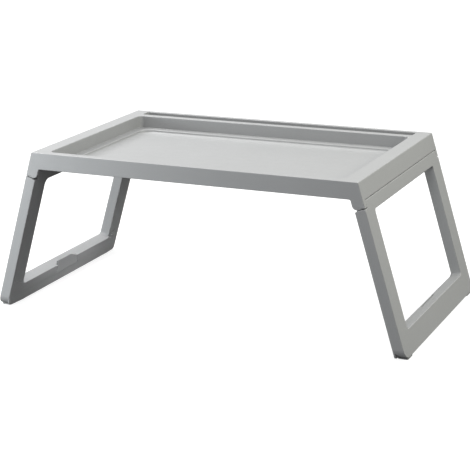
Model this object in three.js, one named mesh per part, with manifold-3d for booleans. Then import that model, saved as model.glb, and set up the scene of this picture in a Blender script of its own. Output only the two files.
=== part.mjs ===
// A folding bed tray: a moulded tray with a sunken floor and a tablet slot, on two leg frames that
// splay outward to stand and fold flat under the tray.
//
// Millimetres, +Z up, +X to the right, +Y to the back. The origin is on the ground, under the middle.
import * as THREE from 'three';
import { ConvexGeometry } from 'three/addons/geometries/ConvexGeometry.js';
import { mergeVertices } from 'three/addons/utils/BufferGeometryUtils.js';
import Module from 'manifold-3d';

// ---- Driving dimensions ----------------------------------------------------------------------------

const HEIGHT = 260; // ground to the top of the rims
const HALF_LENGTH = 268; // middle to the end of the tray, at its top
const HALF_DEPTH = 180; // middle to the front or back face
const SPLAY = 0.2955; // outward run of an end face or a leg for each unit of fall
const GAP = 0.35; // clearance between pieces that touch or turn on each other
const WALL = 3; // moulded wall

// Tray
const BAND = 26.5; // height of the outer face, rim to lower edge
const SIDE_RIM = 25.5;
const FRONT_RIM = 14;
const BACK_RIM = 42; // the slot and the two narrow rims beside it
const WALL_DEPTH = 21; // rim to the ledge round the floor
const LEDGE = 13; // width of the ledge
const FLOOR_DEPTH = 27; // rim to the floor
const FLOOR_WALL = 2.5; // thickness of the floor
const FLOOR_FILLET = 5;
const RECESS_CORNER = 9;
const SLOT_BACK_RIM = 8; // thin rim behind the slot
const SLOT_WIDTH = 22;
const SLOT_DEPTH = 17;
const SLOT_CORNER = 2.5;
const RIB = 2; // stiffening ribs in the hollow rims

// Hinges: each leg turns on two pins held by the ears at the tray's corners
const PIVOT_X = 266;
const PIVOT_Z = 226.5;
const EAR = 9; // thickness of an ear, in from the front or back face
const EAR_RADIUS = 7.7;
const EAR_ROOT = 10; // pivot to the inner end of an ear, where it leaves the tray's lower edge
const FOLD = THREE.MathUtils.degToRad(103); // turn of a leg from standing to folded
const PIN_RADIUS = 2.6;
const PIN_LENGTH = 19;
const PIN_IN_EAR = 6;

// Leg frames
const LEG_THICKNESS = 17.3;
const UPRIGHT = 36.5; // width of an upright, along the tray's depth
const TOP_BAR_BOTTOM = 214; // height of the opening's top edge on the outer face
const BOTTOM_BAR_TOP = 37.5; // height of the opening's bottom edge on the outer face
const OPENING_CORNER = 5;
const LEG_CORNER = 16; // outer lower corners of a frame
const SOLE = 2.6; // ground to the underside of a bottom bar
const BULGE_TOP = 3; // how far a bottom bar stands inward of the uprights, at its top,
const BULGE_RIDGE = 6.4; // at its ridge,
const BULGE_SOLE = 4.8; // and at its underside
const BULGE_RIDGE_HEIGHT = 20.5;
const BULGE_CLIMB = 13; // rise of its faded ends, up the uprights
const BULGE_SHOULDER = 166; // middle of the depth to where its ends turn in
const BULGE_SHOULDER_SIZE = 0.7; // the share of its bulk that is left there
const BULGE_END = 1.5; // how far the bulge stops short of the frame's front and back faces

// Latch tabs and their catches
const TAB_FREE = 38; // reach from the middle to the tab's free end
const TAB_RAMPED = 26.5; // reach from the middle to its ramped end
const TAB_RISE = { left: 7, right: 0 }; // how far a tab stands above its bottom bar
const TAB_RAMP = 20;
const TAB_FLARE = 8; // how much farther the free end reaches at the root
const TAB_SLIT = 1; // width of the slit along the free end
const TAB_THICKNESS = 3;
const TAB_DEPTH = 12; // how far the tab's root lies below the top of the bottom bar
const TAB_SLACK = 1.6; // room behind the tab for it to bend into
const CATCH_HALF_WIDTH = 20;
const CATCH_THICKNESS = 3;
const CATCH_DROP = 10;

// Foot pads
const PAD_Y = 158; // middle of the tray to the middle of a pad
const PAD_LENGTH = 22;
const PAD_WIDTH = 17;
const PAD_SETBACK = 9; // middle of a pad to the outer edge of the sole
const PAD_STEM_RADIUS = 4;
const PAD_STEM = 4;

// ---- Values worked out from them -------------------------------------------------------------------

const LEAN = Math.atan(SPLAY);
const COS = Math.cos(LEAN);
const SIN = Math.sin(LEAN);
const TRAY_BOTTOM = HEIGHT - BAND;
const LEDGE_Z = HEIGHT - WALL_DEPTH;
const FLOOR_Z = HEIGHT - FLOOR_DEPTH;
const FLOOR_UNDERSIDE = FLOOR_Z - FLOOR_WALL;
const RECESS_X = HALF_LENGTH - SIDE_RIM;
const RECESS_FRONT = -HALF_DEPTH + FRONT_RIM;
const RECESS_BACK = HALF_DEPTH - BACK_RIM;
const SLOT_BACK = HALF_DEPTH - SLOT_BACK_RIM;
const SLOT_FRONT = SLOT_BACK - SLOT_WIDTH;
const SLOT_X = RECESS_X + 1;
const SLOT_BOTTOM = HEIGHT - SLOT_DEPTH;
const EAR_INNER = HALF_DEPTH - EAR;
const ABOVE = HEIGHT + 5;
const BELOW = FLOOR_UNDERSIDE - 5;

// The outer face of the tray's end and of the leg below it is one leaning plane.
const outerX = (z) => HALF_LENGTH + SPLAY * (HEIGHT - z);

// A leg is drawn in its own frame: its origin is the pivot, u points outward square to the leg and v
// points up along it. The leg stands when this frame leans outward by LEAN.
const U_OUTER = (outerX(PIVOT_Z) - PIVOT_X) * COS;
const U_INNER = U_OUTER - LEG_THICKNESS;
// v of a height on the plane at a given u
const legV = (z, u) => (z - PIVOT_Z - u * SIN) / COS;
const OPENING_TOP = legV(TOP_BAR_BOTTOM, U_OUTER);
const OPENING_BOTTOM = legV(BOTTOM_BAR_TOP, U_OUTER);
const OPENING_HALF = HALF_DEPTH - UPRIGHT;
const TAB_ROOT = OPENING_BOTTOM - TAB_DEPTH;
const U_BULGE_TOP = U_INNER - BULGE_TOP;
const U_RIDGE = U_INNER - BULGE_RIDGE;
const V_RIDGE = legV(BULGE_RIDGE_HEIGHT, U_RIDGE);
const PAD_X = outerX(SOLE) - PAD_SETBACK;
// Direction, from the pivot, of the point where an ear's straight side touches its round lobe
const EAR_RISE = TRAY_BOTTOM - PIVOT_Z;
const EAR_TOUCH =
  Math.PI - Math.atan2(EAR_RISE, EAR_ROOT) + Math.acos(EAR_RADIUS / Math.hypot(EAR_ROOT, EAR_RISE));

// ---- Solids ----------------------------------------------------------------------------------------

const wasm = await Module();
wasm.setup();

function toSolid(geometry) {
  const bare = geometry.clone();
  bare.deleteAttribute('normal');
  bare.deleteAttribute('uv');
  const welded = mergeVertices(bare, 1e-4);
  const mesh = new wasm.Mesh({
    numProp: 3,
    vertProperties: new Float32Array(welded.attributes.position.array),
    triVerts: new Uint32Array(welded.index.array),
  });
  return new wasm.Manifold(mesh);
}

function toGeometry(solid) {
  const { vertProperties, triVerts } = solid.getMesh();
  const geometry = new THREE.BufferGeometry();
  geometry.setAttribute('position', new THREE.BufferAttribute(new Float32Array(vertProperties), 3));
  geometry.setIndex(new THREE.BufferAttribute(new Uint32Array(triVerts), 1));
  geometry.computeVertexNormals();
  return geometry;
}

// Each of these takes three.js geometries, or solids made by the others.
const asSolid = (shape) => (shape.isBufferGeometry ? toSolid(shape) : shape);
const join = (...shapes) => shapes.map(asSolid).reduce((whole, solid) => whole.add(solid));
const cut = (body, ...tools) => tools.map(asSolid).reduce((rest, tool) => rest.subtract(tool), asSolid(body));
const common = (first, second) => asSolid(first).intersect(asSolid(second));

// ---- Outlines and prisms ---------------------------------------------------------------------------

function polygon(points) {
  return new THREE.Shape(points.map(([a, b]) => new THREE.Vector2(a, b)));
}

// A rectangle with one radius for its lower corners and one for its upper corners.
function roundedRectangle(left, right, low, high, lowRadius, highRadius = lowRadius) {
  const quarter = Math.PI / 2;
  const corners = [
    [right - lowRadius, low + lowRadius, lowRadius, -1],
    [right - highRadius, high - highRadius, highRadius, 0],
    [left + highRadius, high - highRadius, highRadius, 1],
    [left + lowRadius, low + lowRadius, lowRadius, 2],
  ];
  const shape = new THREE.Shape();
  shape.moveTo(left + lowRadius, low);
  corners.forEach(([x, y, radius, turn]) => {
    if (radius > 0) shape.absarc(x, y, radius, turn * quarter, (turn + 1) * quarter, false);
    else shape.lineTo(x, y);
  });
  shape.closePath();
  return shape;
}

function extrude(shape, depth) {
  return new THREE.ExtrudeGeometry(shape, { depth, bevelEnabled: false, curveSegments: 6 });
}

// A prism along Z from an outline in (x, y).
function prismZ(shape, low, high) {
  return extrude(shape, high - low).translate(0, 0, low);
}

// A prism along Y from an outline in (x, z).
function prismY(shape, front, back) {
  return extrude(shape, back - front).rotateX(Math.PI / 2).translate(0, back, 0);
}

// A prism along X from an outline in (y, z).
function prismX(shape, left, right) {
  const turned = extrude(shape, right - left).rotateY(Math.PI / 2).rotateX(Math.PI / 2);
  return turned.translate(left, 0, 0);
}

function box(left, right, front, back, low, high) {
  const geometry = new THREE.BoxGeometry(right - left, back - front, high - low);
  return geometry.translate((left + right) / 2, (front + back) / 2, (low + high) / 2);
}

// A round bar along Y.
function barY(x, z, radius, front, back) {
  const geometry = new THREE.CylinderGeometry(radius, radius, back - front, 32);
  return geometry.translate(x, (front + back) / 2, z);
}

// Both ends are alike, so what sits at the right end is made again, turned round, at the left.
function atBothEnds(...shapes) {
  return join(...shapes.flatMap((shape) => [shape, shape.clone().rotateZ(Math.PI)]));
}

// ---- Tray body -------------------------------------------------------------------------------------

// A tub with a rounded foot: its outline, inset from the recess walls, is full size above the foot.
function tub(inset, bottom, top) {
  const left = -RECESS_X + inset + FLOOR_FILLET;
  const front = RECESS_FRONT + inset + FLOOR_FILLET;
  const back = RECESS_BACK - inset - FLOOR_FILLET;
  const geometry = new THREE.ExtrudeGeometry(roundedRectangle(left, -left, front, back, RECESS_CORNER), {
    depth: top - bottom,
    bevelEnabled: true,
    bevelThickness: FLOOR_FILLET,
    bevelSize: FLOOR_FILLET,
    bevelSegments: 4,
    curveSegments: 6,
  });
  return geometry.translate(0, 0, bottom + FLOOR_FILLET);
}

// An ear, in (x, z): a round lobe about the pivot, and a straight side from it up to the tray's edge.
function earOutline() {
  const top = TRAY_BOTTOM + 1;
  const footX = PIVOT_X + EAR_RADIUS * SIN;
  const footZ = PIVOT_Z - EAR_RADIUS * COS;
  const outerZ = footZ + (outerX(footZ) - footX) * SPLAY;
  const shape = new THREE.Shape();
  shape.moveTo(PIVOT_X - EAR_ROOT, top);
  shape.lineTo(PIVOT_X - EAR_ROOT, TRAY_BOTTOM);
  shape.absarc(PIVOT_X, PIVOT_Z, EAR_RADIUS, EAR_TOUCH, 1.5 * Math.PI + LEAN, false);
  shape.lineTo(outerX(outerZ), outerZ);
  shape.lineTo(outerX(top), top);
  shape.closePath();
  return shape;
}

function trayOuter() {
  const face = polygon([
    [-HALF_LENGTH, HEIGHT],
    [-outerX(TRAY_BOTTOM), TRAY_BOTTOM],
    [outerX(TRAY_BOTTOM), TRAY_BOTTOM],
    [HALF_LENGTH, HEIGHT],
  ]);
  return prismY(face, -HALF_DEPTH, HALF_DEPTH);
}

// The rims are hollow from below, with ribs left across the hollows.
function rimHollows() {
  const roof = HEIGHT - WALL;
  const endOutline = polygon([
    [RECESS_X + WALL, BELOW],
    [outerX(BELOW) - WALL, BELOW],
    [outerX(roof) - WALL, roof],
    [RECESS_X + WALL, roof],
  ]);
  const endReach = EAR_INNER - WALL;
  const endRibs = [-2, -1, 0, 1, 2].map((step) => {
    const y = (step * endReach) / 3;
    return box(RECESS_X, outerX(BELOW), y - RIB / 2, y + RIB / 2, BELOW, HEIGHT);
  });
  const ends = [0, Math.PI].map((turn) => {
    const ribs = endRibs.map((rib) => rib.clone().rotateZ(turn));
    return cut(prismY(endOutline, -endReach, endReach).rotateZ(turn), ...ribs);
  });
  const crossRibs = [-3, -2, -1, 0, 1, 2, 3].map((step) => {
    const x = (step * RECESS_X) / 4;
    return box(x - RIB / 2, x + RIB / 2, -HALF_DEPTH, HALF_DEPTH, BELOW, HEIGHT);
  });
  const front = box(-RECESS_X, RECESS_X, -HALF_DEPTH + WALL, RECESS_FRONT - WALL, BELOW, roof);
  const back = box(-RECESS_X, RECESS_X, RECESS_BACK + WALL, HALF_DEPTH - WALL, BELOW, SLOT_BOTTOM - WALL);
  return [...ends, cut(front, ...crossRibs), cut(back, ...crossRibs)];
}

// A catch hangs under the floor where a latch tab comes up to it.
function latchCatch(tabRise) {
  const face = PIVOT_X + OPENING_BOTTOM + tabRise + 2 * GAP;
  const outline = polygon([
    [face, FLOOR_UNDERSIDE - CATCH_DROP],
    [face + CATCH_THICKNESS - 1, FLOOR_UNDERSIDE - CATCH_DROP],
    [face + CATCH_THICKNESS, FLOOR_UNDERSIDE + 1],
    [face, FLOOR_UNDERSIDE + 1],
  ]);
  return prismY(outline, -CATCH_HALF_WIDTH, CATCH_HALF_WIDTH);
}

function trayBody() {
  const recessOutline = roundedRectangle(-RECESS_X, RECESS_X, RECESS_FRONT, RECESS_BACK, RECESS_CORNER);
  const slotOutline = roundedRectangle(-SLOT_X, SLOT_X, SLOT_FRONT, SLOT_BACK, SLOT_CORNER);
  const shell = cut(
    trayOuter(),
    prismZ(recessOutline, LEDGE_Z, ABOVE),
    prismZ(recessOutline, BELOW, LEDGE_Z - WALL),
    prismZ(slotOutline, SLOT_BOTTOM, ABOVE),
    ...rimHollows(),
  );

  // The floor hangs from the ledge as a shallow tub.
  const underLedge = box(-HALF_LENGTH, HALF_LENGTH, -HALF_DEPTH, HALF_DEPTH, BELOW, LEDGE_Z - 1);
  const floorOuter = common(tub(LEDGE - WALL, FLOOR_UNDERSIDE, LEDGE_Z), underLedge);
  const floorPocket = tub(LEDGE, FLOOR_Z, LEDGE_Z);

  const ears = [
    prismY(earOutline(), -HALF_DEPTH, -EAR_INNER),
    prismY(earOutline(), EAR_INNER, HALF_DEPTH),
  ];
  const boreEnd = EAR_INNER + PIN_IN_EAR + GAP;
  const bores = [
    barY(PIVOT_X, PIVOT_Z, PIN_RADIUS + GAP, -boreEnd, -EAR_INNER + 1),
    barY(PIVOT_X, PIVOT_Z, PIN_RADIUS + GAP, EAR_INNER - 1, boreEnd),
  ];

  const catches = [latchCatch(TAB_RISE.right), latchCatch(TAB_RISE.left).rotateZ(Math.PI)];
  const whole = join(shell, floorOuter, atBothEnds(...ears), ...catches);
  return cut(whole, floorPocket, atBothEnds(...bores));
}

// ---- Leg frame, drawn in the leg's own (u, y, v) frame ---------------------------------------------

// Side view: a level top under the tray, round behind the pivot, and a level sole.
function legProfile() {
  const topRadius = TRAY_BOTTOM - GAP - PIVOT_Z;
  const shape = new THREE.Shape();
  shape.moveTo(U_OUTER, legV(SOLE, U_OUTER));
  shape.lineTo(U_OUTER, legV(PIVOT_Z + topRadius, U_OUTER));
  shape.absarc(0, 0, topRadius, Math.PI / 2 - LEAN, Math.acos(U_INNER / topRadius), false);
  shape.lineTo(U_INNER, legV(SOLE, U_INNER));
  shape.closePath();
  return shape;
}

// The inner side of the bottom bar leans in to a ridge and back out to the sole. Past the opening it
// climbs the uprights a little and fades out toward the frame's front and back faces.
function bulge() {
  const root = U_INNER + 2;
  const foot = U_INNER - BULGE_SOLE;
  const section = [
    [root, legV(SOLE, root)],
    [root, OPENING_BOTTOM],
    [U_BULGE_TOP, OPENING_BOTTOM],
    [U_RIDGE, V_RIDGE],
    [foot, legV(SOLE, foot)],
  ];
  // Across an end at y: how far the bulge stands inward, as a share of its bulk, and its top
  const slice = (y, share, top) => [
    new THREE.Vector3(root, y, legV(SOLE, root)),
    new THREE.Vector3(root, y, top),
    new THREE.Vector3(U_INNER, y, top),
    new THREE.Vector3(U_INNER - share * BULGE_RIDGE, y, V_RIDGE),
    new THREE.Vector3(U_INNER - share * BULGE_SOLE, y, legV(SOLE, U_INNER - share * BULGE_SOLE)),
  ];
  const shoulderTop = OPENING_BOTTOM + BULGE_CLIMB * BULGE_SHOULDER_SIZE;
  const ends = [-1, 1].map((side) => new ConvexGeometry([
    ...section.map(([u, v]) => new THREE.Vector3(u, side * OPENING_HALF, v)),
    ...slice(side * BULGE_SHOULDER, BULGE_SHOULDER_SIZE, shoulderTop),
    ...slice(side * (HALF_DEPTH - BULGE_END), 0.05, OPENING_BOTTOM + BULGE_CLIMB),
  ]));
  return join(prismY(polygon(section), -OPENING_HALF, OPENING_HALF), ...ends);
}

// The frame is full width only below the room that an ear needs: its lobe, and its straight side as it
// lies in the leg's frame once the leg is folded.
function earRoom() {
  const swing = EAR_RADIUS + 2 * GAP;
  const side = EAR_TOUCH + FOLD - LEAN;
  const inner = U_INNER - 1;
  const shape = new THREE.Shape();
  shape.moveTo(U_OUTER + 5, 40);
  shape.lineTo(U_OUTER + 5, -swing);
  shape.lineTo((swing * (1 + Math.sin(side))) / Math.cos(side), -swing);
  shape.lineTo(inner, (swing - inner * Math.cos(side)) / Math.sin(side));
  shape.lineTo(inner, 40);
  shape.closePath();
  return shape;
}

// Front view of a latch tab: its free end flares toward the root, and its other end is a ramp.
function tabOutline(rise, clearance, slit) {
  const root = TAB_ROOT - clearance;
  const top = OPENING_BOTTOM + rise + clearance;
  const free = TAB_FREE + slit;
  const ramped = -TAB_RAMPED - clearance;
  return polygon([
    [ramped, root],
    [free + TAB_FLARE, root],
    [free, OPENING_BOTTOM],
    [free, top],
    [ramped + TAB_RAMP, top],
    [ramped, OPENING_BOTTOM + clearance],
  ]);
}

function legFrame(padStems, tabRise) {
  const far = U_RIDGE - 1;
  const near = U_OUTER + 1;
  const lowest = legV(SOLE, U_OUTER);
  const outline = roundedRectangle(-HALF_DEPTH, HALF_DEPTH, lowest, 40, LEG_CORNER, 0);
  const opening = roundedRectangle(
    -OPENING_HALF, OPENING_HALF, OPENING_BOTTOM, OPENING_TOP, OPENING_CORNER,
  );

  const plate = cut(prismY(legProfile(), -HALF_DEPTH, HALF_DEPTH), prismX(opening, far, near));
  const boreEnd = EAR_INNER + PIN_IN_EAR - PIN_LENGTH - GAP;
  return cut(
    common(join(plate, bulge()), prismX(outline, far, near)),
    prismY(earRoom(), -HALF_DEPTH - 1, -EAR_INNER + GAP),
    prismY(earRoom(), EAR_INNER - GAP, HALF_DEPTH + 1),
    barY(0, 0, PIN_RADIUS + GAP, -EAR_INNER - 1, -boreEnd),
    barY(0, 0, PIN_RADIUS + GAP, boreEnd, EAR_INNER + 1),
    prismX(tabOutline(tabRise, GAP, TAB_SLIT), far, U_BULGE_TOP + TAB_THICKNESS + TAB_SLACK),
    ...padStems,
  );
}

// The tab carries on the leaning face of the bar's inner side.
function latchTab(rise) {
  const lean = (U_RIDGE - U_BULGE_TOP) / (OPENING_BOTTOM - V_RIDGE);
  const face = (v) => U_BULGE_TOP + lean * (OPENING_BOTTOM - v);
  const top = OPENING_BOTTOM + rise;
  const side = polygon([
    [face(TAB_ROOT), TAB_ROOT],
    [face(TAB_ROOT) + TAB_THICKNESS, TAB_ROOT],
    [face(top) + TAB_THICKNESS, top],
    [face(top), top],
  ]);
  const whole = prismY(side, -TAB_RAMPED, TAB_FREE + TAB_FLARE);
  return common(whole, prismX(tabOutline(rise, 0, 0), U_RIDGE - 5, U_OUTER));
}

// ---- Foot pads, level on the ground under each end of a bottom bar ---------------------------------

function intoLegFrame(geometry) {
  return geometry.translate(-PIVOT_X, 0, -PIVOT_Z).rotateY(LEAN);
}

function padStem(sideways, clearance) {
  const radius = PAD_STEM_RADIUS + clearance;
  const length = SOLE + PAD_STEM + clearance - 1;
  const stem = new THREE.CylinderGeometry(radius, radius, length, 24).rotateX(Math.PI / 2);
  return intoLegFrame(stem.translate(PAD_X, sideways * PAD_Y, 1 + length / 2));
}

function footPad(sideways) {
  const outline = roundedRectangle(
    PAD_X - PAD_WIDTH / 2, PAD_X + PAD_WIDTH / 2, PAD_Y - PAD_LENGTH / 2, PAD_Y + PAD_LENGTH / 2, 3,
  );
  const sole = prismZ(outline, 0, SOLE - GAP);
  sole.translate(0, sideways < 0 ? -2 * PAD_Y : 0, 0);
  return join(intoLegFrame(sole), padStem(sideways, 0));
}

// ---- The object ------------------------------------------------------------------------------------

const plastic = { color: 0x8f9190, roughness: 0.5, metalness: 0 };
const softPlastic = { color: 0x7c7e7d, roughness: 0.7, metalness: 0 };

function named(name, shape, look) {
  const mesh = new THREE.Mesh(toGeometry(asSolid(shape)), new THREE.MeshStandardMaterial(look));
  mesh.name = name;
  return mesh;
}

// One leg with its pins, tab and pads. The left one is turned round, so what was toward its front
// comes to the back, and its tab stands higher.
function leg(end, turn, near, away) {
  const group = new THREE.Group();
  const place = new THREE.Group();
  const sides = [[-1, near], [1, away]];
  const stems = sides.map(([sideways]) => padStem(sideways, GAP));
  group.add(named(`leg_frame_${end}`, legFrame(stems, TAB_RISE[end]), plastic));
  group.add(named(`latch_tab_${end}`, latchTab(TAB_RISE[end]), plastic));
  sides.forEach(([sideways, where]) => {
    const outer = sideways * (EAR_INNER + PIN_IN_EAR);
    const inner = outer - sideways * PIN_LENGTH;
    const pin = barY(0, 0, PIN_RADIUS, Math.min(inner, outer), Math.max(inner, outer));
    group.add(named(`hinge_pin_${end}_${where}`, pin, plastic));
    group.add(named(`foot_pad_${end}_${where}`, footPad(sideways), softPlastic));
  });
  group.position.set(PIVOT_X, 0, PIVOT_Z);
  group.rotation.y = -LEAN;
  place.rotation.z = turn;
  place.add(group);
  return place;
}

const tray = new THREE.Group();
tray.add(named('tray_body', trayBody(), plastic));
tray.add(leg('right', 0, 'front', 'back'));
tray.add(leg('left', Math.PI, 'back', 'front'));

export default tray;
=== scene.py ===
"""A folding bed tray in grey moulded plastic: its looks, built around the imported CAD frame.

Shapes are drawn in millimetres and scaled to metres when their mesh is made.
+Z is up, +X is right, +Y is back, and the origin is on the ground under the middle of the tray.
"""

import math

import bmesh
import bpy
from mathutils import Matrix, Vector


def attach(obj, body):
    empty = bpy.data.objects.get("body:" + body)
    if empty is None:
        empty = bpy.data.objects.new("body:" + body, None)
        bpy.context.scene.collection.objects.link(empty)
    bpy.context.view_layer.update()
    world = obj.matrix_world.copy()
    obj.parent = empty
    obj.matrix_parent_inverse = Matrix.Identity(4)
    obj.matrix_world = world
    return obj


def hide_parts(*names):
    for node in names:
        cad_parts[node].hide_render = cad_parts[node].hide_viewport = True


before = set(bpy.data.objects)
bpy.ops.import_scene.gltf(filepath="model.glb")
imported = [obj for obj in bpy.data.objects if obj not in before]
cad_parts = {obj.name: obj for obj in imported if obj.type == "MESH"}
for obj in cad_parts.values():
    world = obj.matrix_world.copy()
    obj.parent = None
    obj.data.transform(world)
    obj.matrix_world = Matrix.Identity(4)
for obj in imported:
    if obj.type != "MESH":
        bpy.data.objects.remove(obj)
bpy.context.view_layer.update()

# ---- Dimensions, the same as the CAD's ------------------------------------------------------------

MM = 0.001  # metres in a millimetre
HEIGHT = 260
HALF_LENGTH = 268
HALF_DEPTH = 180
SPLAY = 0.2955
GAP = 0.35
WALL = 3

BAND = 26.5
SIDE_RIM = 25.5
FRONT_RIM = 14
BACK_RIM = 42
LEDGE_DROP = 21
LEDGE = 13
FLOOR_DROP = 27
FLOOR_WALL = 2.5
FLOOR_FILLET = 5
FLOOR_BLEND = 11
RECESS_CORNER = 9
SLOT_BACK_RIM = 8
SLOT_WIDTH = 22
SLOT_DROP = 17
SLOT_CORNER = 2.5
RIB = 2

PIVOT_X = 266
PIVOT_Z = 226.5
EAR = 9
EAR_RADIUS = 7.7
EAR_ROOT = 10
FOLD = math.radians(103)
PIN_RADIUS = 2.6
PIN_LENGTH = 19
PIN_IN_EAR = 6

LEG_THICKNESS = 17.3
UPRIGHT = 36.5
TOP_BAR_BOTTOM = 214
BOTTOM_BAR_TOP = 37.5
OPENING_CORNER = 5
LEG_CORNER = 16
SOLE = 2.6
BULGE_TOP = 3
BULGE_RIDGE = 6.4
BULGE_SOLE = 4.8
BULGE_RIDGE_HEIGHT = 20.5
BULGE_CLIMB = 13
BULGE_SHOULDER = 166
BULGE_SHOULDER_SIZE = 0.7
BULGE_END = 1.5

TAB_FREE = 38
TAB_RAMPED = 26.5
TAB_RISE = {"left": 7, "right": 0}
TAB_RAMP = 20
TAB_FLARE = 8
TAB_SLIT = 1
TAB_THICKNESS = 3
TAB_DEPTH = 12
TAB_SLACK = 1.6
CATCH_HALF_WIDTH = 20
CATCH_THICKNESS = 3
CATCH_DROP = 10

PAD_Y = 158
PAD_LENGTH = 22
PAD_WIDTH = 17
PAD_SETBACK = 9
PAD_STEM_RADIUS = 4
PAD_STEM = 4

# ---- Edge radii and small marks that only the looks have -------------------------------------------

EDGE = 1.2  # outer edges of the tray and the legs
LEAST_EDGE = 0.3  # what is left of a corner where another rounding meets it
MOUTH = 1.5  # top edge of the recess
SLOT_MOUTH = 1.1
FOOT_FILLET = 1.6  # between a recess wall and its ledge
LEDGE_EDGE = 0.8
FINE_EDGE = 0.6
HOLLOW_CORNER = 1.3
EAR_ROOT_FILLET = 3
EAR_ROOT_STEP = 4  # how far an ear's root runs inward past its corner,
EAR_OVERLAP = 8  # and how far it reaches up into the tray's end wall
LEG_TOP_DROP = 0.4  # how much lower than the CAD's the top of a leg is
OPENING_FLARE = 4  # how much larger the opening's top corners are on the inner face
BULGE_LAST_SHARE = 0.05  # the share of the bulge's bulk that is left at its ends
SMOOTH_ANGLE = 38  # degrees; a sharper edge is shaded as an edge
GATE_Y = 11  # moulding dimple on top of a bottom bar
GATE_RADIUS = 1
GATE_DEPTH = 1.5

# ---- Values worked out from them -------------------------------------------------------------------

LEAN = math.atan(SPLAY)
COS = math.cos(LEAN)
SIN = math.sin(LEAN)
TRAY_BOTTOM = HEIGHT - BAND
LEDGE_Z = HEIGHT - LEDGE_DROP
FLOOR_Z = HEIGHT - FLOOR_DROP
FLOOR_UNDERSIDE = FLOOR_Z - FLOOR_WALL
RECESS_X = HALF_LENGTH - SIDE_RIM
RECESS_FRONT = -HALF_DEPTH + FRONT_RIM
RECESS_BACK = HALF_DEPTH - BACK_RIM
SLOT_BACK = HALF_DEPTH - SLOT_BACK_RIM
SLOT_FRONT = SLOT_BACK - SLOT_WIDTH
SLOT_X = RECESS_X + 1
SLOT_BOTTOM = HEIGHT - SLOT_DROP
EAR_INNER = HALF_DEPTH - EAR
ABOVE = HEIGHT + 10
BELOW = TRAY_BOTTOM - 20


def outer_x(z):
    """x of the leaning end face of the tray and of the leg below it."""
    return HALF_LENGTH + SPLAY * (HEIGHT - z)


def leg_v(z, u):
    """Along the leg: v of a height on the plane at u, both measured from the pivot."""
    return (z - PIVOT_Z - u * SIN) / COS


U_OUTER = (outer_x(PIVOT_Z) - PIVOT_X) * COS
U_INNER = U_OUTER - LEG_THICKNESS
OPENING_TOP = leg_v(TOP_BAR_BOTTOM, U_OUTER)
OPENING_BOTTOM = leg_v(BOTTOM_BAR_TOP, U_OUTER)
OPENING_HALF = HALF_DEPTH - UPRIGHT
TAB_ROOT = OPENING_BOTTOM - TAB_DEPTH
U_BULGE_TOP = U_INNER - BULGE_TOP
U_RIDGE = U_INNER - BULGE_RIDGE
V_RIDGE = leg_v(BULGE_RIDGE_HEIGHT, U_RIDGE)
PAD_X = outer_x(SOLE) - PAD_SETBACK
TOP_RADIUS = TRAY_BOTTOM - GAP - PIVOT_Z
EAR_SWING = EAR_RADIUS + 2 * GAP
EAR_RISE = TRAY_BOTTOM - PIVOT_Z
EAR_SLOPE = math.atan2(EAR_RISE, EAR_ROOT)
# The angle about the pivot at which an ear's straight side meets its lobe.
EAR_TOUCH = math.pi - EAR_SLOPE + math.acos(EAR_RADIUS / math.hypot(EAR_ROOT, EAR_RISE))

# ---- Outlines --------------------------------------------------------------------------------------


def arc(steps, start=0.0, turn=math.pi / 2):
    """(cosine, sine) pairs along an arc, both ends included."""
    angles = [start + turn * k / steps for k in range(steps + 1)]
    return [(math.cos(angle), math.sin(angle)) for angle in angles]


def rounded_rectangle(left, right, low, high, low_radius, high_radius=None, steps=8):
    """Points anticlockwise from the lower right corner."""
    high_radius = low_radius if high_radius is None else high_radius
    corners = [
        (right - low_radius, low + low_radius, low_radius, -1),
        (right - high_radius, high - high_radius, high_radius, 0),
        (left + high_radius, high - high_radius, high_radius, 1),
        (left + low_radius, low + low_radius, low_radius, 2),
    ]
    points = []
    for a, b, radius, quarter in corners:
        for c, s in arc(steps, quarter * math.pi / 2):
            points.append((a + radius * c, b + radius * s))
    return points


def filleted(corners, steps=5):
    """An outline from (a, b, radius) corners, each rounded by an arc that is tangent to both its sides."""
    points = []
    count = len(corners)
    for k, (a, b, radius) in enumerate(corners):
        if radius <= 0:
            points.append((a, b))
            continue
        here = Vector((a, b))
        before = (Vector(corners[k - 1][:2]) - here).normalized()
        after = (Vector(corners[(k + 1) % count][:2]) - here).normalized()
        half = before.angle(after) / 2
        centre = here + (before + after).normalized() * radius / math.sin(half)
        start = here + before * radius / math.tan(half) - centre
        end = here + after * radius / math.tan(half) - centre
        sweep = start.angle_signed(end)
        for step in range(steps + 1):
            turn = -sweep * step / steps
            c, s = math.cos(turn), math.sin(turn)
            points.append((centre.x + start.x * c - start.y * s, centre.y + start.x * s + start.y * c))
    return points


def inset_outline(points, inset):
    """The anticlockwise outline moved inward by inset, or outward where it is negative."""
    moved = []
    count = len(points)
    for k in range(count):
        here = Vector(points[k])
        back = (here - Vector(points[k - 1])).normalized()
        on = (Vector(points[(k + 1) % count]) - here).normalized()
        inward = Vector((-back.y - on.y, back.x + on.x)).normalized()
        reach = inset / max(0.4, inward.dot(Vector((-on.y, on.x))))
        moved.append((here.x + inward.x * reach, here.y + inward.y * reach))
    return moved


def rounding(radius, steps=4):
    """(depth from the face, inset of the outline) along a rounded edge, from the face inward."""
    return [(radius * (1 - c), radius * (1 - s)) for c, s in arc(steps)]


# ---- Meshes ----------------------------------------------------------------------------------------


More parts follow.
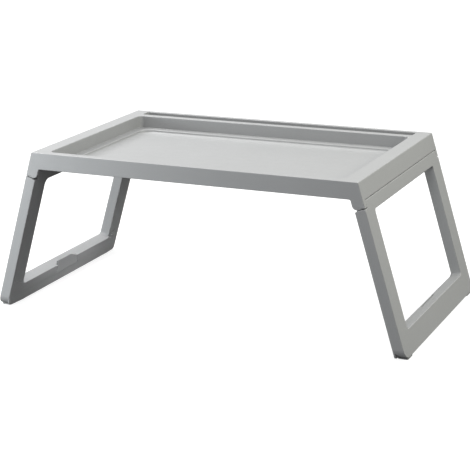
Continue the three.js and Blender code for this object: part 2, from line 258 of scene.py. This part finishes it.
def loft(rings, name="tool"):
    """A closed mesh through rings of points in millimetres, with a face over each end."""
    bm = bmesh.new()
    loops = [[bm.verts.new(Vector(p) * MM) for p in ring] for ring in rings]
    for lower, upper in zip(loops, loops[1:]):
        count = len(lower)
        for k in range(count):
            after = (k + 1) % count
            bm.faces.new((lower[k], lower[after], upper[after], upper[k]))
    bm.faces.new(list(reversed(loops[0])))
    bm.faces.new(loops[-1])
    bmesh.ops.recalc_face_normals(bm, faces=bm.faces)
    mesh = bpy.data.meshes.new(name)
    bm.to_mesh(mesh)
    bm.free()
    made = bpy.data.objects.new(name, mesh)
    bpy.context.scene.collection.objects.link(made)
    return made


def prism_y(outline, front, back, front_edge=0.0, back_edge=0.0, steps=4):
    """An (x, z) outline carried along Y, its edges rounded at each end."""
    levels = [(front + d, i) for d, i in rounding(front_edge, steps)] if front_edge else [(front, 0)]
    ends = [(back - d, i) for d, i in rounding(back_edge, steps)] if back_edge else [(back, 0)]
    levels += reversed(ends)
    return loft([[(a, y, b) for a, b in inset_outline(outline, i)] for y, i in levels])


def cylinder(centre, axis, radius, length, steps=32):
    """A round bar about a centre point."""
    turn = Vector((0, 0, 1)).rotation_difference(Vector(axis)).to_matrix()
    rings = []
    for end in (-length / 2, length / 2):
        circle = arc(steps, 0.0, math.tau)[:-1]
        rings.append([Vector(centre) + turn @ Vector((radius * c, radius * s, end)) for c, s in circle])
    return loft(rings)


def copy_of(piece, matrix):
    """A second mesh like the first, moved by the matrix."""
    made = piece.copy()
    made.data = piece.data.copy()
    made.data.transform(matrix)
    bpy.context.scene.collection.objects.link(made)
    return made


def merged(pieces):
    """Several separate closed meshes as one object."""
    bm = bmesh.new()
    for piece in pieces:
        bm.from_mesh(piece.data)
        bpy.data.objects.remove(piece)
    mesh = bpy.data.meshes.new("tool")
    bm.to_mesh(mesh)
    bm.free()
    made = bpy.data.objects.new("tool", mesh)
    bpy.context.scene.collection.objects.link(made)
    return made


def combine(body, tool, operation):
    """body with tool added, cut away or kept in common. The tool is used up."""
    modifier = body.modifiers.new("combine", "BOOLEAN")
    modifier.operation = operation
    modifier.solver = "EXACT"
    modifier.object = tool
    depsgraph = bpy.context.evaluated_depsgraph_get()
    mesh = bpy.data.meshes.new_from_object(body.evaluated_get(depsgraph))
    body.modifiers.clear()
    body.data = mesh
    bpy.data.objects.remove(tool)
    return body


def soften(piece, offset, segments=3, angle=25):
    """Rounds every edge that is sharper than the angle."""
    bm = bmesh.new()
    bm.from_mesh(piece.data)
    bmesh.ops.dissolve_limit(bm, angle_limit=math.radians(1), verts=bm.verts, edges=bm.edges)
    sharp = [e for e in bm.edges if e.is_manifold and e.calc_face_angle() > math.radians(angle)]
    bmesh.ops.bevel(
        bm,
        geom=sharp,
        offset=offset * MM,
        segments=segments,
        profile=0.5,
        affect="EDGES",
        clamp_overlap=True,
    )
    bm.to_mesh(piece.data)
    bm.free()
    return piece


def clean(piece, weld=0.004):
    """Closes the slivers that cutting leaves, and makes wide flat faces shade flat."""
    bm = bmesh.new()
    bm.from_mesh(piece.data)
    bmesh.ops.remove_doubles(bm, verts=bm.verts, dist=weld * MM)
    bmesh.ops.dissolve_degenerate(bm, dist=weld * MM, edges=bm.edges)
    bmesh.ops.recalc_face_normals(bm, faces=bm.faces)
    bm.to_mesh(piece.data)
    bm.free()
    for face in piece.data.polygons:
        face.use_smooth = True
    piece.data.set_sharp_from_angle(angle=math.radians(SMOOTH_ANGLE))
    weighted = piece.modifiers.new("weighted", "WEIGHTED_NORMAL")
    weighted.mode = "FACE_AREA"
    weighted.weight = 90
    weighted.keep_sharp = True
    return piece


# ---- Tray ------------------------------------------------------------------------------------------


def ring(half, front, back, z, radius):
    """A level outline round the tray's middle, as wide to the left as to the right."""
    return [(x, y, z) for x, y in rounded_rectangle(-half, half, front, back, max(radius, 0.25))]


def tray_blank():
    """The outside of the tray, with its rounded rim and lower edge."""
    rings = []
    heights = [(TRAY_BOTTOM + d, i) for d, i in rounding(EDGE)]
    heights += reversed([(HEIGHT - d, i) for d, i in rounding(EDGE)])
    for z, i in heights:
        rings.append(ring(outer_x(z) - i, -HALF_DEPTH + i, HALF_DEPTH - i, z, EDGE + 0.2 - i))
    return loft(rings)


def recess_tool():
    """The room above the floor: the mouth, the wall, its foot, the ledge, and the pocket to the floor."""
    pocket_corner = RECESS_CORNER + FLOOR_BLEND
    section = [(MOUTH, ABOVE, RECESS_CORNER + MOUTH)]
    for c, s in arc(5):
        out = MOUTH * (1 - s)
        section.append((out, HEIGHT - MOUTH * (1 - c), RECESS_CORNER + out))
    for c, s in arc(5):
        out = -FOOT_FILLET * (1 - c)
        section.append((out, LEDGE_Z + FOOT_FILLET * (1 - s), RECESS_CORNER + out))
    edge_start = LEDGE_EDGE - LEDGE
    for c, s in arc(4):
        z = LEDGE_Z - LEDGE_EDGE * (1 - c)
        section.append((edge_start - LEDGE_EDGE * s, z, pocket_corner + LEDGE_EDGE * (1 - s)))
    for c, s in arc(8):
        out = -FLOOR_BLEND * (1 - c)
        section.append((out - LEDGE, FLOOR_Z + FLOOR_FILLET * (1 - s), pocket_corner + out))
    return loft([ring(RECESS_X + s, RECESS_FRONT - s, RECESS_BACK + s, z, r) for s, z, r in section])


def hollow_tool(left, right, front, back, top):
    """A moulded hollow that opens downward. Its sides may depend on the height."""
    levels = [(BELOW, FINE_EDGE)]
    levels += [(TRAY_BOTTOM + FINE_EDGE * c, FINE_EDGE * (1 - s)) for s, c in arc(3)]
    levels = [(z, -e) for z, e in levels] + [(top - d, i) for d, i in reversed(rounding(1, 3))]
    rings = []
    for z, i in levels:
        corner = HOLLOW_CORNER - i
        outline = rounded_rectangle(left(z) + i, right(z) - i, front + i, back - i, corner, steps=3)
        rings.append([(x, y, z) for x, y in outline])
    return loft(rings)


def rim_hollows():
    """The rims are hollow from below, in cells between thin ribs."""
    roof = HEIGHT - WALL
    cells = []
    pitch = RECESS_X / 4
    for step in range(-4, 4):
        low = step * pitch + RIB / 2
        high = (step + 1) * pitch - RIB / 2
        for front, back, top in (
            (-HALF_DEPTH + WALL, RECESS_FRONT - WALL, roof),
            (RECESS_BACK + WALL, HALF_DEPTH - WALL, SLOT_BOTTOM - WALL),
        ):
            cells.append(hollow_tool(lambda z, x=low: x, lambda z, x=high: x, front, back, top))
    reach = EAR_INNER - WALL
    for step in range(-3, 3):
        low = step * reach / 3 + RIB / 2
        high = (step + 1) * reach / 3 - RIB / 2
        near = RECESS_X + WALL
        cells.append(hollow_tool(lambda z: near, lambda z: outer_x(z) - WALL, low, high, roof))
        cells.append(hollow_tool(lambda z: WALL - outer_x(z), lambda z: -near, low, high, roof))
    return merged(cells)


def tub():
    """The underside of the floor, one wall below the pocket and round it."""
    radius = FLOOR_FILLET
    corner = RECESS_CORNER + FLOOR_FILLET + WALL
    section = [(radius * (1 - c), FLOOR_UNDERSIDE + radius * (1 - s)) for c, s in reversed(arc(6))]
    section.append((0, LEDGE_Z - 1))
    rings = []
    for s, z in section:
        i = LEDGE - WALL + s
        rings.append(ring(RECESS_X - i, RECESS_FRONT + i, RECESS_BACK - i, z, corner - s))
    return loft(rings)


def underside_tool():
    """The room under the ledge, inside the skirt of the recess wall."""
    top = LEDGE_Z - WALL
    return hollow_tool(lambda z: -RECESS_X, lambda z: RECESS_X, RECESS_FRONT, RECESS_BACK, top)


def slot_tool():
    """The slot for a tablet, in the back rim."""
    section = [(-SLOT_MOUTH, ABOVE)]
    section += [(-SLOT_MOUTH * (1 - s), HEIGHT - SLOT_MOUTH * (1 - c)) for c, s in arc(4)]
    section += [(i, SLOT_BOTTOM + d) for d, i in reversed(rounding(1.5, 4))]
    rings = []
    for i, z in section:
        outline = rounded_rectangle(-SLOT_X + i, SLOT_X - i, SLOT_FRONT + i, SLOT_BACK - i, SLOT_CORNER - i)
        rings.append([(x, y, z) for x, y in outline])
    return loft(rings)


def ear_outline():
    """An ear, in (x, z): a lobe about the pivot, with a straight side up to the tray's lower edge."""
    top = TRAY_BOTTOM + EAR_OVERLAP
    foot_x = PIVOT_X + EAR_RADIUS * SIN
    foot_z = PIVOT_Z - EAR_RADIUS * COS
    outer_z = foot_z + (outer_x(foot_z) - foot_x) * SPLAY
    touch_x = PIVOT_X + EAR_RADIUS * math.cos(EAR_TOUCH)
    touch_z = PIVOT_Z + EAR_RADIUS * math.sin(EAR_TOUCH)
    root = PIVOT_X - EAR_ROOT
    blend = filleted([
        (root - EAR_ROOT_STEP, top, 0),
        (root - EAR_ROOT_STEP, TRAY_BOTTOM, 0),
        (root, TRAY_BOTTOM, EAR_ROOT_FILLET),
        (touch_x, touch_z, 0),
    ])
    lobe = arc(14, EAR_TOUCH, 1.5 * math.pi + LEAN - EAR_TOUCH)
    points = blend[:-1] + [(PIVOT_X + EAR_RADIUS * c, PIVOT_Z + EAR_RADIUS * s) for c, s in lobe]
    outer_side = filleted([(foot_x, foot_z, 0), (outer_x(outer_z), outer_z, 0.8), (outer_x(top), top, 0)])
    return points + outer_side[1:]


def latch_catch(tab_rise):
    """A tongue under the floor that stands beside the end of a folded tab."""
    face = PIVOT_X + OPENING_BOTTOM + tab_rise + 2 * GAP
    outline = filleted([
        (face, FLOOR_UNDERSIDE - CATCH_DROP, 0.5),
        (face + CATCH_THICKNESS - 1, FLOOR_UNDERSIDE - CATCH_DROP, 0.5),
        (face + CATCH_THICKNESS, FLOOR_UNDERSIDE + 1, 0),
        (face, FLOOR_UNDERSIDE + 1, 0),
    ])
    return prism_y(outline, -CATCH_HALF_WIDTH, CATCH_HALF_WIDTH, FINE_EDGE, FINE_EDGE, 3)


def build_tray():
    """The whole moulding: the hollowed tray, its ears with their pin bores, and its catches."""
    half_turn = Matrix.Rotation(math.pi, 4, "Z")
    body = tray_blank()
    combine(body, underside_tool(), "DIFFERENCE")
    combine(body, tub(), "UNION")
    combine(body, recess_tool(), "DIFFERENCE")
    combine(body, slot_tool(), "DIFFERENCE")
    combine(body, rim_hollows(), "DIFFERENCE")

    lobe = ear_outline()
    ears = [prism_y(lobe, -HALF_DEPTH, -EAR_INNER, EDGE, FINE_EDGE)]
    ears.append(prism_y(lobe, EAR_INNER, HALF_DEPTH, FINE_EDGE, EDGE))
    ears += [copy_of(ear, half_turn) for ear in ears]
    combine(body, merged(ears), "UNION")

    left_catch = latch_catch(TAB_RISE["left"])
    left_catch.data.transform(half_turn)
    combine(body, merged([left_catch, latch_catch(TAB_RISE["right"])]), "UNION")

    deep = EAR_INNER + PIN_IN_EAR + GAP
    bores = []
    for side in (-1, 1):
        middle = side * (deep + EAR_INNER - 1) / 2
        bores.append(cylinder((PIVOT_X, middle, PIVOT_Z), (0, 1, 0), PIN_RADIUS + GAP, deep - EAR_INNER + 1))
    bores += [copy_of(bore, half_turn) for bore in bores]
    combine(body, merged(bores), "DIFFERENCE")
    return clean(body)


# ---- Leg, drawn in its own (u, y, v) frame ---------------------------------------------------------


def top_v(u):
    """Top of the leg: level under the tray, then round behind the pivot."""
    level = leg_v(PIVOT_Z + TOP_RADIUS, u)
    return level if u > TOP_RADIUS * SIN else math.sqrt(TOP_RADIUS**2 - u**2)


def notch_v(u):
    """Lower limit of the room for an ear: its lobe, and its straight side once the leg is folded."""
    side = EAR_TOUCH + FOLD - LEAN
    return min(-EAR_SWING, (EAR_SWING - u * math.cos(side)) / math.sin(side))


def leg_plate():
    """The frame before its opening is cut: notched for the ears, and rounded on both faces."""
    levels = [(U_INNER + d, i) for d, i in rounding(EDGE)]
    turning = [(U_INNER + EDGE) * (1 - k / 7) + TOP_RADIUS * SIN * k / 7 for k in range(1, 8)]
    levels += [(u, 0) for u in turning]
    levels += reversed([(U_OUTER - d, i) for d, i in rounding(EDGE)])
    rings = []
    shoulder = EAR_INNER - GAP
    for u, i in levels:
        low = leg_v(SOLE, u) + i
        notch = notch_v(u) - i
        high = top_v(u) - i - LEG_TOP_DROP
        side = HALF_DEPTH - i
        step = shoulder - i
        corner = max(EDGE - i, LEAST_EDGE)
        corners = [
            (side, low, LEG_CORNER - i),
            (side, notch, corner),
            (step, notch, 0.4 + i),
            (step, high, corner),
            (-step, high, corner),
            (-step, notch, 0.4 + i),
            (-side, notch, corner),
            (-side, low, LEG_CORNER - i),
        ]
        rings.append([(u, y, v) for y, v in filleted(corners, 8)])
    return loft(rings)


def opening_tool():
    """The opening, rounded where it meets both faces, with larger top corners toward the inner face."""
    half = OPENING_HALF
    levels = [(U_INNER - 12, EDGE)] + [(U_INNER + d, i) for d, i in rounding(EDGE)]
    levels += [(U_OUTER - d, i) for d, i in reversed(rounding(EDGE))] + [(U_OUTER + 6, EDGE)]
    rings = []
    for u, e in levels:
        inward = min(1, max(0, (U_OUTER - u) / LEG_THICKNESS))
        upper = OPENING_CORNER + OPENING_FLARE * inward + e
        low, high = OPENING_BOTTOM - e, OPENING_TOP + e
        outline = rounded_rectangle(-half - e, half + e, low, high, OPENING_CORNER + e, upper)
        rings.append([(u, y, v) for y, v in outline])
    return loft(rings)


def hull(points):
    """The closed convex mesh round some points in millimetres."""
    bm = bmesh.new()
    for point in points:
        bm.verts.new(Vector(point) * MM)
    made = bmesh.ops.convex_hull(bm, input=bm.verts)
    bmesh.ops.delete(bm, geom=list({*made["geom_interior"], *made["geom_unused"]}), context="VERTS")
    bmesh.ops.recalc_face_normals(bm, faces=bm.faces)
    mesh = bpy.data.meshes.new("tool")
    bm.to_mesh(mesh)
    bm.free()
    piece = bpy.data.objects.new("tool", mesh)
    bpy.context.scene.collection.objects.link(piece)
    return piece


def bulge():
    """The inner side of the bottom bar leans in to a ridge and back out to the sole.
    Past the opening it climbs the uprights a little and fades out toward the front and back faces."""
    root = U_INNER + 2
    foot = U_INNER - BULGE_SOLE
    section = [
        (root, leg_v(SOLE, root)),
        (root, OPENING_BOTTOM),
        (U_BULGE_TOP, OPENING_BOTTOM),
        (U_RIDGE, V_RIDGE),
        (foot, leg_v(SOLE, foot)),
    ]

    def slice_at(y, share, climb):
        """Points across an end at y, where a share of the bulge's bulk is left."""
        top = OPENING_BOTTOM + climb
        ridge = U_INNER - share * BULGE_RIDGE
        sole = U_INNER - share * BULGE_SOLE
        across = [
            (root, leg_v(SOLE, root)),
            (root, top),
            (U_INNER, top),
            (ridge, V_RIDGE),
            (sole, leg_v(SOLE, sole)),
        ]
        return [(u, y, v) for u, v in across]

    bar = loft([[(u, y, v) for u, v in section] for y in (-OPENING_HALF, OPENING_HALF)])
    for side in (-1, 1):
        points = [(u, side * OPENING_HALF, v) for u, v in section]
        points += slice_at(side * BULGE_SHOULDER, BULGE_SHOULDER_SIZE, BULGE_SHOULDER_SIZE * BULGE_CLIMB)
        points += slice_at(side * (HALF_DEPTH - BULGE_END), BULGE_LAST_SHARE, BULGE_CLIMB)
        combine(bar, hull(points), "UNION")
    lowest = leg_v(SOLE, U_OUTER)
    outline = rounded_rectangle(-HALF_DEPTH, HALF_DEPTH, lowest, 0, LEG_CORNER, 1)
    room = loft([[(u, y, v) for y, v in outline] for u in (U_RIDGE - 5, root + 5)])
    return soften(combine(bar, room, "INTERSECT"), 0.9)


def tab_outline(rise, clearance, slit):
    """A tab in (y, v), or with a clearance and a slit the pocket that it stands in."""
    root = TAB_ROOT - clearance
    top = OPENING_BOTTOM + rise + clearance
    free = TAB_FREE + slit
    ramped = -TAB_RAMPED - clearance
    corners = [(ramped, root, 0.5), (free + TAB_FLARE, root, 0.5)]
    if rise:
        corners += [(free, OPENING_BOTTOM, 1.5), (free, top, 1)]
        corners += [(ramped + TAB_RAMP, top, 4), (ramped, OPENING_BOTTOM + clearance, 1)]
    else:
        corners += [(free, top, 0.8), (ramped, top, 0.8)]
    return filleted(corners)


def tab_face(v):
    """u of the leaning inner face that the tab shares with the bar."""
    lean = (U_RIDGE - U_BULGE_TOP) / (OPENING_BOTTOM - V_RIDGE)
    return U_BULGE_TOP + lean * (OPENING_BOTTOM - v)


def build_leg(tab_rise):
    """A leg frame with its bulge, the pocket for its tab, its pin and foot holes and its dimple."""
    body = leg_plate()
    combine(body, opening_tool(), "DIFFERENCE")
    combine(body, bulge(), "UNION")

    pocket = tab_outline(tab_rise, GAP, TAB_SLIT)
    reach = (U_RIDGE - 2, U_BULGE_TOP + TAB_THICKNESS + TAB_SLACK)
    combine(body, loft([[(u, y, v) for y, v in pocket] for u in reach]), "DIFFERENCE")

    holes = []
    inner_end = EAR_INNER + PIN_IN_EAR - PIN_LENGTH - GAP
    place = Matrix.Rotation(LEAN, 3, "Y")
    upward = place @ Vector((0, 0, 1))
    for side in (-1, 1):
        middle = side * (inner_end + EAR_INNER + 1) / 2
        holes.append(cylinder((0, middle, 0), (0, 1, 0), PIN_RADIUS + GAP, EAR_INNER + 1 - inner_end))
        stem = Vector((PAD_X - PIVOT_X, side * PAD_Y, SOLE + (PAD_STEM - SOLE) / 2 - PIVOT_Z))
        holes.append(cylinder(place @ stem, upward, PAD_STEM_RADIUS + GAP, PAD_STEM + SOLE))
    middle_u = (U_OUTER + U_INNER) / 2
    holes.append(cylinder((middle_u, GATE_Y, OPENING_BOTTOM), (0, 0, 1), GATE_RADIUS, 2 * GATE_DEPTH, 16))
    combine(body, merged(holes), "DIFFERENCE")
    return clean(body)


def build_tab(rise):
    """A latch tab with rounded faces, leaning with the face of its bar."""
    outline = tab_outline(rise, 0, 0)
    levels = rounding(FINE_EDGE, 3) + [(TAB_THICKNESS - d, i) for d, i in reversed(rounding(FINE_EDGE, 3))]
    rings = []
    for depth, i in levels:
        rings.append([(tab_face(v) + depth, y, v) for y, v in inset_outline(outline, i)])
    return clean(loft(rings))


def build_pad():
    """A foot pad, drawn level on the ground below the right leg, at the middle of the depth."""
    levels = rounding(1, 4) + [(SOLE - GAP, 0)]
    rings = []
    for z, i in levels:
        outer = PAD_X + PAD_WIDTH / 2 - i
        inner = PAD_X - PAD_WIDTH / 2 + i
        outline = rounded_rectangle(inner, outer, -PAD_LENGTH / 2 + i, PAD_LENGTH / 2 - i, 3 - i)
        rings.append([(x, y, z) for x, y in outline])
    block = loft(rings)
    stem = cylinder((PAD_X, 0, (SOLE + PAD_STEM) / 2), (0, 0, 1), PAD_STEM_RADIUS, SOLE + PAD_STEM - 1)
    return clean(combine(block, stem, "UNION"))


# ---- Materials -------------------------------------------------------------------------------------


def plastic(name, colour, roughness, grain=0.35, tone=0.035):
    """Moulded plastic: a fine spark-eroded grain, faint clouding of the colour, and a painted highlight that
    makes sharp convex edges paler.
    """
    material = bpy.data.materials.new(name)
    material.use_nodes = True
    nodes = material.node_tree.nodes
    links = material.node_tree.links
    nodes.clear()

    def node(kind, **values):
        made = nodes.new(kind)
        for key, value in values.items():
            setattr(made, key, value)
        return made

    output = node("ShaderNodeOutputMaterial")
    shader = node("ShaderNodeBsdfPrincipled")
    links.new(shader.outputs["BSDF"], output.inputs["Surface"])
    shader.inputs["Specular IOR Level"].default_value = 0.45

    place = node("ShaderNodeTexCoord")

    def noise(scale, detail, rough=0.5):
        made = node("ShaderNodeTexNoise")
        made.inputs["Scale"].default_value = scale
        made.inputs["Detail"].default_value = detail
        made.inputs["Roughness"].default_value = rough
        links.new(place.outputs["Object"], made.inputs["Vector"])
        return made

    cloud = noise(9, 4)
    speck = noise(900, 2)
    orange_peel = noise(260, 2)
    grit = noise(2200, 3, 0.6)
    scuff = noise(34, 6, 0.7)

    def shade(amount):
        return (*[min(1.0, c * amount) for c in colour], 1)

    clouded = node("ShaderNodeMix", data_type="RGBA")
    links.new(cloud.outputs["Fac"], clouded.inputs["Factor"])
    clouded.inputs["A"].default_value = shade(1 - tone)
    clouded.inputs["B"].default_value = shade(1 + tone)

    specked = node("ShaderNodeMix", data_type="RGBA", blend_type="OVERLAY")
    specked.inputs["Factor"].default_value = 0.12
    links.new(clouded.outputs["Result"], specked.inputs["A"])
    links.new(speck.outputs["Fac"], specked.inputs["B"])

    # Painted highlight: convex edges, found by their pointiness, are mixed toward a paler colour.
    geometry = node("ShaderNodeNewGeometry")
    edge = node("ShaderNodeMapRange")
    edge.inputs["From Min"].default_value = 0.52
    edge.inputs["From Max"].default_value = 0.62
    edge.inputs["To Min"].default_value = 0.0
    edge.inputs["To Max"].default_value = 0.3
    links.new(geometry.outputs["Pointiness"], edge.inputs["Value"])
    highlit_edges = node("ShaderNodeMix", data_type="RGBA")
    links.new(edge.outputs["Result"], highlit_edges.inputs["Factor"])
    links.new(specked.outputs["Result"], highlit_edges.inputs["A"])
    highlit_edges.inputs["B"].default_value = shade(1.3)
    links.new(highlit_edges.outputs["Result"], shader.inputs["Base Color"])

    gloss = node("ShaderNodeMapRange")
    gloss.inputs["From Min"].default_value = 0.3
    gloss.inputs["From Max"].default_value = 0.7
    gloss.inputs["To Min"].default_value = roughness - 0.05
    gloss.inputs["To Max"].default_value = roughness + 0.06
    links.new(scuff.outputs["Fac"], gloss.inputs["Value"])
    links.new(gloss.outputs["Result"], shader.inputs["Roughness"])

    heights = node("ShaderNodeMath", operation="MULTIPLY_ADD")
    links.new(grit.outputs["Fac"], heights.inputs[0])
    heights.inputs[1].default_value = 0.5
    links.new(orange_peel.outputs["Fac"], heights.inputs[2])
    bump = node("ShaderNodeBump")
    bump.inputs["Strength"].default_value = grain
    bump.inputs["Distance"].default_value = 0.00006
    links.new(heights.outputs["Value"], bump.inputs["Height"])
    links.new(bump.outputs["Normal"], shader.inputs["Normal"])
    return material


def grey(value, warmth=0.0):
    """A grey from a 0-255 screen value, as linear light."""
    level = value / 255
    linear = level / 12.92 if level <= 0.04045 else ((level + 0.055) / 1.055) ** 2.4
    return (linear * (1 + warmth), linear, linear * (1 - warmth))


tray_plastic = plastic("tray_plastic", grey(150, -0.012), 0.46)
leg_plastic = plastic("leg_plastic", grey(150, -0.012), 0.46)
foot_plastic = plastic("foot_plastic", grey(144, -0.01), 0.62, grain=0.5)

# ---- Pieces ----------------------------------------------------------------------------------------


def finish_piece(piece, name, body, node, material):
    """Names a piece, gives it its material and slot, and puts it in place of its CAD node."""
    piece.name = name
    piece.data.name = name
    piece.data.materials.clear()
    piece.data.materials.append(material)
    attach(piece, body)
    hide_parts(node)


finish_piece(build_tray(), "tray", "tray", "tray_body", tray_plastic)

stand = Matrix.Translation(Vector((PIVOT_X, 0, PIVOT_Z)) * MM) @ Matrix.Rotation(-LEAN, 4, "Y")
for end, turn, corners in (("right", 0, ("front", "back")), ("left", math.pi, ("back", "front"))):
    facing = Matrix.Rotation(turn, 4, "Z")
    leg_body = f"{end}_leg"
    shell = build_leg(TAB_RISE[end])
    shell.data.transform(facing @ stand)
    finish_piece(shell, f"{end}_leg_shell", leg_body, f"leg_frame_{end}", leg_plastic)
    tab = build_tab(TAB_RISE[end])
    tab.data.transform(facing @ stand)
    finish_piece(tab, f"{end}_tab_shell", f"{end}_latch", f"latch_tab_{end}", leg_plastic)
    for side, where in zip((-1, 1), corners):
        pad = build_pad()
        pad.data.transform(facing @ Matrix.Translation((0, side * PAD_Y * MM, 0)))
        pad_node = f"foot_pad_{end}_{where}"
        finish_piece(pad, f"{end}_{where}_pad", leg_body, pad_node, foot_plastic)
        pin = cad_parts[f"hinge_pin_{end}_{where}"]
        pin.data.materials.clear()
        pin.data.materials.append(leg_plastic)

# ---- Floor, light and camera -----------------------------------------------------------------------

CAMERA_PLACE = (0.9447, -2.1191, 0.7701)
CAMERA_YAW = 0.4208
CAMERA_PITCH = -0.2783
CAMERA_ROLL = -0.0124
CAMERA_LENS = 114.57
FLOOR_REACH = 30
FLOOR_SINK = 0.0002  # keeps the floor just clear of the feet
FLOOR_TONE = (0.25, 0.25, 0.25, 1)
FLOOR_GLOW = 0.88
SKY_TILT = (-10, -6)  # degrees about X and Y
WORLD_BELOW = 0.16
WORLD_ABOVE = 0.48
HORIZON_BLEND = 0.15  # half the height over which the world's light changes


def make_floor():
    """A wide pale floor that glows a little. It neither lights the tray nor shows in it."""
    bm = bmesh.new()
    bmesh.ops.create_grid(bm, x_segments=4, y_segments=4, size=FLOOR_REACH)
    mesh = bpy.data.meshes.new("studio_floor")
    bm.to_mesh(mesh)
    bm.free()
    made = bpy.data.objects.new("studio_floor", mesh)
    made.location.z = -FLOOR_SINK
    bpy.context.scene.collection.objects.link(made)
    material = bpy.data.materials.new("studio_floor")
    material.use_nodes = True
    shader = material.node_tree.nodes["Principled BSDF"]
    shader.inputs["Base Color"].default_value = FLOOR_TONE
    shader.inputs["Roughness"].default_value = 0.9
    shader.inputs["Specular IOR Level"].default_value = 0.0
    shader.inputs["Emission Color"].default_value = (1, 1, 1, 1)
    shader.inputs["Emission Strength"].default_value = FLOOR_GLOW
    mesh.materials.append(material)
    made.visible_diffuse = False
    made.visible_glossy = False


def area_light(name, place, aim, size, power, colour=(1, 1, 1), spread=180):
    """A soft box that faces its aim. The spread is the width of its beam in degrees."""
    data = bpy.data.lights.new(name, "AREA")
    data.shape = "RECTANGLE"
    data.size, data.size_y = size
    data.energy = power
    data.color = colour
    data.spread = math.radians(spread)
    lamp = bpy.data.objects.new(name, data)
    lamp.location = place
    lamp.rotation_euler = (Vector(aim) - Vector(place)).to_track_quat("-Z", "Y").to_euler()
    bpy.context.scene.collection.objects.link(lamp)


def sky_light(strength, size):
    """A broad light from above, a little from the back and the left."""
    data = bpy.data.lights.new("sky", "SUN")
    data.energy = strength
    data.angle = math.radians(size)
    lamp = bpy.data.objects.new("sky", data)
    lamp.location = (0, 0, 3)
    lamp.rotation_euler = (math.radians(SKY_TILT[0]), math.radians(SKY_TILT[1]), 0)
    bpy.context.scene.collection.objects.link(lamp)


def studio_world():
    """Even white light all round, stronger from above the horizon than from below it."""
    world = bpy.data.worlds.new("studio")
    world.use_nodes = True
    nodes = world.node_tree.nodes
    links = world.node_tree.links
    background = nodes["Background"]
    direction = nodes.new("ShaderNodeTexCoord")
    split = nodes.new("ShaderNodeSeparateXYZ")
    rise = nodes.new("ShaderNodeMapRange")
    rise.inputs["From Min"].default_value = -HORIZON_BLEND
    rise.inputs["From Max"].default_value = HORIZON_BLEND
    rise.inputs["To Min"].default_value = WORLD_BELOW
    rise.inputs["To Max"].default_value = WORLD_ABOVE
    links.new(direction.outputs["Generated"], split.inputs["Vector"])
    links.new(split.outputs["Z"], rise.inputs["Value"])
    links.new(rise.outputs["Result"], background.inputs["Strength"])
    background.inputs["Color"].default_value = (1, 1, 1, 1)
    bpy.context.scene.world = world


make_floor()
sky_light(1.85, 50)
area_light("upper_left", (-0.95, 0.15, 1.1), (-0.3, 0, 0.05), (0.6, 0.6), 15)
area_light("front_high", (0.35, -0.85, 1.2), (-0.2, 0, 0.05), (0.6, 0.6), 4.5)
area_light("front_left", (-0.88, -0.8, 0.2), (-0.28, -0.1, 0.1), (0.4, 0.4), 9, (0.94, 0.98, 1.0))
# Stands in for the floor's light on the inner side of the left bottom bar.
area_light("bar_fill", (0.27, 0.02, 0.07), (-0.335, 0.02, 0), (0.12, 0.12), 0.085, spread=40)
area_light("right", (1.25, 0.05, 0.95), (0.3, -0.05, 0.1), (0.6, 0.6), 11, (1.0, 1.0, 0.88))
studio_world()
bpy.context.scene.view_settings.view_transform = "Standard"

forward = Vector((
    -math.sin(CAMERA_YAW) * math.cos(CAMERA_PITCH),
    math.cos(CAMERA_YAW) * math.cos(CAMERA_PITCH),
    math.sin(CAMERA_PITCH),
))
level_right = Vector((math.cos(CAMERA_YAW), math.sin(CAMERA_YAW), 0))
level_up = level_right.cross(forward)
right = math.cos(CAMERA_ROLL) * level_right + math.sin(CAMERA_ROLL) * level_up
up = math.cos(CAMERA_ROLL) * level_up - math.sin(CAMERA_ROLL) * level_right
camera_data = bpy.data.cameras.new("camera")
camera_data.lens = CAMERA_LENS
camera_data.sensor_width = 36
camera = bpy.data.objects.new("camera", camera_data)
camera_turn = Matrix((right, up, -forward)).transposed().to_4x4()
camera.matrix_world = Matrix.Translation(CAMERA_PLACE) @ camera_turn
bpy.context.scene.collection.objects.link(camera)
bpy.context.scene.camera = camera
